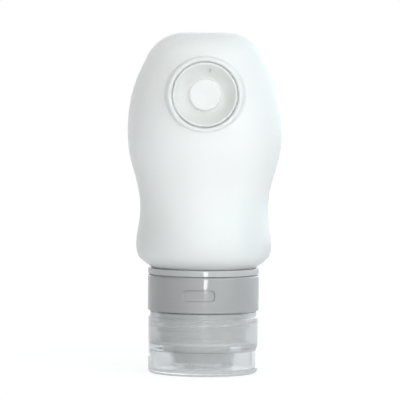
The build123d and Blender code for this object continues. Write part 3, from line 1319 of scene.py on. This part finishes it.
@dataclass
class FlipLid:
    """The clear lid that the bottle stands on, with the plug for the orifice."""

    radius: float = 14.5
    high: float = 6.2
    wall: float = 1.2
    plate: float = 1.2
    edge_round: float = 0.9
    plug: float = 3.15
    plug_wall: float = 0.8
    plug_high: float = 2.0
    thumb_level: float = 13.9
    thumb_low: float = 1.6
    hinge_level: float = 14.0
    hinge_low: float = 4.525
    rim_round: float = 0.12
    inner_corner: float = 0.5
    plug_foot: float = 0.2
    plug_round: float = 0.1
    flat_overrun: float = 1.0
    row: float = 0.2
    columns: int = 320

    def build(self) -> None:
        """Make the lid with its flats."""
        outline = trace(
            [
                Corner(0.0, 0.0),
                Corner(self.radius, 0.0, self.edge_round, self.row),
                Corner(self.radius, self.high, self.rim_round),
                Corner(self.radius - self.wall, self.high, self.rim_round),
                Corner(self.radius - self.wall, self.plate, self.inner_corner),
                Corner(self.plug, self.plate, self.plug_foot),
                Corner(self.plug - self.plug_wall / 2, self.plug_high, self.plug_round),
                Corner(self.plug - self.plug_wall, self.plug_high, self.plug_round),
                Corner(self.plug - self.plug_wall, self.plate, self.plug_foot),
                Corner(0.0, self.plate),
            ],
            closed=False,
        )
        over = self.high + self.flat_overrun
        thumb = Flat(Side.THUMB, self.thumb_level, self.thumb_low, over)
        hinge = Flat(Side.HINGE, self.hinge_level, self.hinge_low, over)
        piece = turned_piece("flip_lid_cup", outline, self.columns, CLEAR, [thumb.step(), hinge.step()])
        shade(piece)
        settle(piece, Body.LID, Slot.CLEAR, "flip_lid")


@dataclass
class LivingHinge:
    """The thin strap that joins lid and cap; the real one bends there, this one is made straight."""

    inner: float = -14.02
    thickness: float = 0.33
    film: float = 0.2
    middle: float = 6.275
    reach: float = 1.5
    width: float = 6.5
    bend: float = 0.45
    rows: int = 40

    def build(self) -> None:
        """Make the strap straight, thinner at the line where the real one bends."""
        mesh = bpy.data.meshes.new("hinge_film")
        shell = bmesh.new()
        rings = []
        for number in range(self.rows + 1):
            level = self.middle - self.reach + 2 * self.reach * number / self.rows
            near = min(1.0, abs(level - self.middle) / self.bend)
            thick = self.film + (self.thickness - self.film) * near * near * (3 - 2 * near)
            corners = [
                (self.inner, -self.width / 2),
                (self.inner, self.width / 2),
                (self.inner - thick, self.width / 2),
                (self.inner - thick, -self.width / 2),
            ]
            rings.append([shell.verts.new((x * MM, y * MM, level * MM)) for x, y in corners])
        for low, high in zip(rings, rings[1:]):
            for here, there in ((n, (n + 1) % len(low)) for n in range(len(low))):
                shell.faces.new((low[here], low[there], high[there], high[here]))
        shell.faces.new(rings[0][::-1])
        shell.faces.new(rings[-1])
        bmesh.ops.recalc_face_normals(shell, faces=shell.faces)
        shell.to_mesh(mesh)
        shell.free()
        piece = new_object("hinge_film", mesh)
        mesh.materials.append(CLEAR.material())
        shade(piece)
        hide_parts("hinge_strap")
        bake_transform(piece)
        LOG.info("made %s", piece.name)


# Stage

WHITE = (1.0, 1.0, 1.0, 1.0)


@dataclass(frozen=True)
class RoomPart:
    """A part of the room: the direction of its middle, its light, and where it fades in and is full."""

    aim: tuple[float, float, float]
    colour: Colour
    edge: float = -1.0
    core: float = 1.0


@dataclass
class Studio:
    """Floor, lamp, world and camera."""

    eye: tuple[float, float, float] = (-0.0011, -0.8, 0.080)
    aim: tuple[float, float, float] = (-0.0011, 0.0, 0.0457)
    lens: float = 272.0
    roll: float = 0.5
    clip: tuple[float, float] = (0.01, 20.0)
    strip_place: tuple[float, float, float] = (0.021, -0.28, 0.007)
    strip_size: Point = (0.034, 0.008)
    strip_power: float = 0.018
    floor_width: float = 6.0
    floor_paper: float = 0.9
    floor_glow: float = 1.06
    glow_share: float = 0.2
    seen_glow_share: float = 0.8
    soft_glow_share: float = 0.5
    clear_bounces: int = 32
    surface_bounces: int = 8
    backdrop: RoomPart = RoomPart((0.2, 0.98, 0.0), (0.98, 0.99, 0.99), 0.1, 0.6)
    panel: RoomPart = RoomPart((0.8, 0.6, 0.0), (2.1, 2.3, 2.45), 0.45, 1.0)
    room: tuple[RoomPart, ...] = (
        RoomPart((-1.0, 0.0, 0.0), (0.02, 0.02, 0.02)),
        RoomPart((1.0, 0.0, 0.0), (0.16, 0.36, 0.52), 0.1, 0.8),
        RoomPart((0.28, -0.862, 0.423), (2.85, 2.91, 2.89), 0.42, 0.97),
        RoomPart((0.0, 1.0, 0.0), (1.35, 1.40, 1.42), 0.3, 0.94),
        RoomPart((0.0, 0.0, 1.0), (0.75, 0.76, 0.75), 0.35, 0.9),
    )

    def lamp(self, name: str, place: Sequence[float], size: Point, power: float) -> None:
        """Add a soft white area lamp that faces the bottle's axis.

        Args:
            name: Its name.
            place: Where it stands, in metres.
            size: Its width and height.
            power: Watts.
        """
        light = bpy.data.lights.new(name, "AREA")
        light.shape = "RECTANGLE"
        light.size, light.size_y = size
        light.energy = power
        holder = bpy.data.objects.new(name, light)
        bpy.context.scene.collection.objects.link(holder)
        holder.location = place
        aim = Vector((0, 0, place[2])) - Vector(place)
        holder.rotation_euler = aim.to_track_quat("-Z", "Y").to_euler()
        holder.visible_camera = False

    def towards(
        self, graph: Graph, direction: bpy.types.NodeSocket, part: RoomPart
    ) -> bpy.types.NodeSocket:
        """Return how much a direction belongs to a part of the room, from 0 to 1."""
        aim = graph.node(
            "ShaderNodeVectorMath", {0: direction, 1: part.aim}, operation="DOT_PRODUCT"
        )
        return graph.smooth_step(aim.outputs["Value"], part.edge, part.core)

    def world(self) -> None:
        """Make the world: white for the camera, a bright backdrop for clear pieces, and a soft room."""
        world = bpy.data.worlds.new("studio_room")
        bpy.context.scene.world = world
        world.use_nodes = True
        graph = Graph(world.node_tree)
        graph.tree.nodes.clear()
        direction = graph.node("ShaderNodeTexCoord").outputs["Generated"]
        first, *others = self.room
        colour: Any = first.colour
        for part in others:
            colour = graph.blend(self.towards(graph, direction, part), colour, part.colour)
        soft = graph.node("ShaderNodeBackground", {"Color": colour})
        beside = self.towards(graph, direction, self.panel)
        glow = graph.blend(beside, self.backdrop.colour, self.panel.colour)
        panel = graph.node("ShaderNodeBackground", {"Color": glow})
        white = graph.node("ShaderNodeBackground", {"Color": WHITE})
        path = graph.node("ShaderNodeLightPath").outputs
        behind = self.towards(graph, direction, self.backdrop)
        through = graph.math("MAXIMUM", path["Is Transmission Ray"], path["Is Glossy Ray"])
        share = graph.math("MULTIPLY", through, behind)
        clear = graph.node("ShaderNodeMixShader", {0: share, 1: soft.outputs[0], 2: panel.outputs[0]})
        seen = path["Is Camera Ray"]
        mixed = graph.node("ShaderNodeMixShader", {0: seen, 1: clear.outputs[0], 2: white.outputs[0]})
        graph.node("ShaderNodeOutputWorld", {"Surface": mixed.outputs[0]})

    def floor(self) -> None:
        """Make the pale floor, which shows white and keeps the bottle's shadow."""
        mesh = bpy.data.meshes.new("floor")
        half = self.floor_width / 2
        corners = [(-half, -half, 0), (half, -half, 0), (half, half, 0), (-half, half, 0)]
        mesh.from_pydata(corners, [], [(0, 1, 2, 3)])
        piece = new_object("floor", mesh)
        material = bpy.data.materials.new("pale_floor")
        material.use_nodes = True
        graph = Graph(material.node_tree)
        graph.tree.nodes.clear()
        grey = (self.floor_paper, self.floor_paper, self.floor_paper, 1.0)
        paper = graph.node("ShaderNodeBsdfDiffuse", {"Color": grey})
        white = graph.node("ShaderNodeEmission", {"Color": WHITE, "Strength": self.floor_glow})
        path = graph.node("ShaderNodeLightPath").outputs
        share: Any = self.glow_share
        for ray, full in (
            ("Is Camera Ray", self.seen_glow_share), ("Is Diffuse Ray", self.soft_glow_share)
        ):
            share = graph.math("MULTIPLY_ADD", path[ray], full - self.glow_share, share)
        dim = graph.node("ShaderNodeMixShader", {0: share, 1: paper.outputs[0], 2: white.outputs[0]})
        graph.node("ShaderNodeOutputMaterial", {"Surface": dim.outputs[0]})
        mesh.materials.append(material)

    def camera(self) -> None:
        """Set the camera at the photograph's viewing angle."""
        lens = bpy.data.cameras.new("camera")
        lens.lens = self.lens
        lens.clip_start, lens.clip_end = self.clip
        holder = bpy.data.objects.new("camera", lens)
        bpy.context.scene.collection.objects.link(holder)
        holder.location = self.eye
        look = (Vector(self.aim) - Vector(self.eye)).to_track_quat("-Z", "Y")
        tilt = Matrix.Rotation(math.radians(self.roll), 3, "Z").to_quaternion()
        holder.rotation_euler = (look @ tilt).to_euler()
        bpy.context.scene.camera = holder

    def build(self) -> None:
        """Set the stage."""
        scene = bpy.context.scene
        scene.view_settings.view_transform = "Standard"
        scene.cycles.max_bounces = self.clear_bounces
        scene.cycles.transmission_bounces = self.clear_bounces
        scene.cycles.diffuse_bounces = self.surface_bounces
        scene.cycles.glossy_bounces = self.surface_bounces
        self.world()
        self.floor()
        self.lamp("low_strip", self.strip_place, self.strip_size, self.strip_power)
        self.camera()


def main() -> None:
    """Build the bottle and its stage."""
    logging.basicConfig(level=logging.INFO, format="%(name)s: %(message)s")
    Studio().build()
    SiliconeBody().build()
    SuctionCup().build()
    Collar().build()
    LabelRing().build()
    ScrewCap().build()
    FlipLid().build()
    LivingHinge().build()
    SealWasher().build()


if __name__ == "__main__":
    main()
